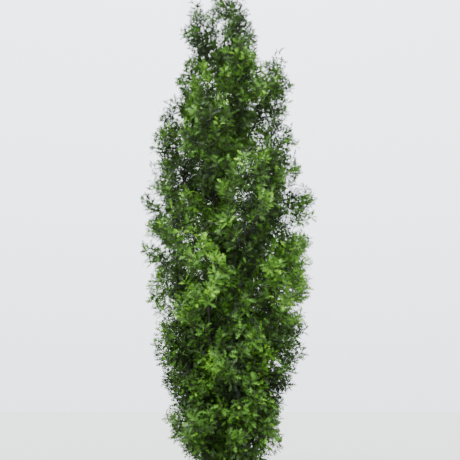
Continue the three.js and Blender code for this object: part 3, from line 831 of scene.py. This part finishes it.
wood = []
stems = [plume.stem for plume in plumes]
stem_radii = [(plume.stem_radius, STEM_TIP_RADIUS) for plume in plumes]
wood.append(laid_on_curves(stems, stem_radii, sides=9, rings=14))
twigs = [twig for plume in plumes for twig in plume.twigs]
twig_radii = [(TWIG_RADIUS, TWIG_TIP_RADIUS)] * len(twigs)
wood.append(laid_on_curves(twigs, twig_radii, sides=5, rings=4))
side_twigs = [twig for plume in plumes for twig in plume.side_twigs]
side_twig_radii = [(SIDE_TWIG_RADIUS, SHOOT_RADIUS)] * len(side_twigs)
wood.append(laid_on_curves(side_twigs, side_twig_radii, sides=3, rings=2))
twig_piece = piece_of_arrays("stems_and_twigs", wood, [young_bark])
shoots = [curve for plume in plumes for curve in plume.shoot_curves]
shoot_radii = [(SHOOT_RADIUS, SHOOT_RADIUS)] * len(shoots)
shoot_arrays = laid_on_curves(shoots, shoot_radii, sides=3, rings=1, tip=0.0)
# This year's shoots have smooth green-brown skin, with no cork on it yet.
shoot_material, tree = new_material("oak_shoot_smooth_green_brown")
skin = add_node(tree, "ShaderNodeBsdfPrincipled", {"Base Color": linear("#5f5a34"), "Roughness": 0.6})
add_node(tree, "ShaderNodeOutputMaterial", {"Surface": skin.outputs["BSDF"]})
shoot_piece = piece_of_arrays("leafy_shoots", [shoot_arrays], [shoot_material])
for piece in (twig_piece, shoot_piece):
    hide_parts(*foliage_nodes.values())

# The studio. A pale floor at ground level, a pale sky that brightens overhead, and one wide soft lamp, high
# in front on the left. The camera stands 10.5 m in front at eye height and looks up at the crown.
CAMERA_PLACE = (0.07, -10.5, 1.6)
CAMERA_PITCH = 17.85  # degrees above level
CAMERA_LENS = 42.5
CAMERA_SENSOR = 36.0
FLOOR_SIZE = 240.0
SKY_AT_HORIZON = 3.1
SKY_OVERHEAD = 5.0
SUN_STRENGTH = 4.0
SUN_WIDTH = 30  # degrees
SUN_COLOUR = (1.0, 0.97, 0.9)
SUN_TO_THE_FRONT = 38  # degrees off straight overhead
SUN_TO_THE_LEFT = 22
VIEW_REACH = 500.0

floor_made = bmesh.new()
bmesh.ops.create_grid(floor_made, x_segments=8, y_segments=8, size=FLOOR_SIZE / 2)
floor_mesh = bpy.data.meshes.new("studio_floor")
floor_made.to_mesh(floor_mesh)
floor_made.free()
# Matt pale paint, with hardly any highlight.
floor_material, tree = new_material("studio_floor_matt_paint")
paint = add_node(tree, "ShaderNodeBsdfPrincipled", {"Base Color": linear("#b9bab6"), "Roughness": 0.9})
add_node(tree, "ShaderNodeOutputMaterial", {"Surface": paint.outputs["BSDF"]})
floor_mesh.materials.append(floor_material)
floor = bpy.data.objects.new("studio_floor", floor_mesh)
bpy.context.collection.objects.link(floor)

world = bpy.data.worlds.new("pale_sky")
bpy.context.scene.world = world
world.use_nodes = True
world.node_tree.nodes.clear()
look = add_node(world.node_tree, "ShaderNodeTexCoord").outputs["Generated"]
upward = add_node(world.node_tree, "ShaderNodeSeparateXYZ", {"Vector": look}).outputs["Z"]
glow = add_node(
    world.node_tree,
    "ShaderNodeMapRange",
    {"Value": upward, "To Min": SKY_AT_HORIZON, "To Max": SKY_OVERHEAD},
).outputs["Result"]
sky = add_node(world.node_tree, "ShaderNodeBackground", {"Color": linear("#f4f8ff"), "Strength": glow})
add_node(world.node_tree, "ShaderNodeOutputWorld", {"Surface": sky.outputs["Background"]})

lamp = bpy.data.lights.new("soft_sun", "SUN")
lamp.energy = SUN_STRENGTH
lamp.angle = math.radians(SUN_WIDTH)
lamp.color = SUN_COLOUR
lamp_object = bpy.data.objects.new("soft_sun", lamp)
lamp_object.rotation_euler = (math.radians(SUN_TO_THE_FRONT), math.radians(-SUN_TO_THE_LEFT), 0.0)
bpy.context.collection.objects.link(lamp_object)

camera = bpy.data.cameras.new("camera")
camera.lens = CAMERA_LENS
camera.sensor_width = CAMERA_SENSOR
camera.clip_end = VIEW_REACH
camera_object = bpy.data.objects.new("camera", camera)
camera_object.location = CAMERA_PLACE
camera_object.rotation_euler = (math.radians(90 + CAMERA_PITCH), 0.0, 0.0)
bpy.context.collection.objects.link(camera_object)
bpy.context.scene.camera = camera_object
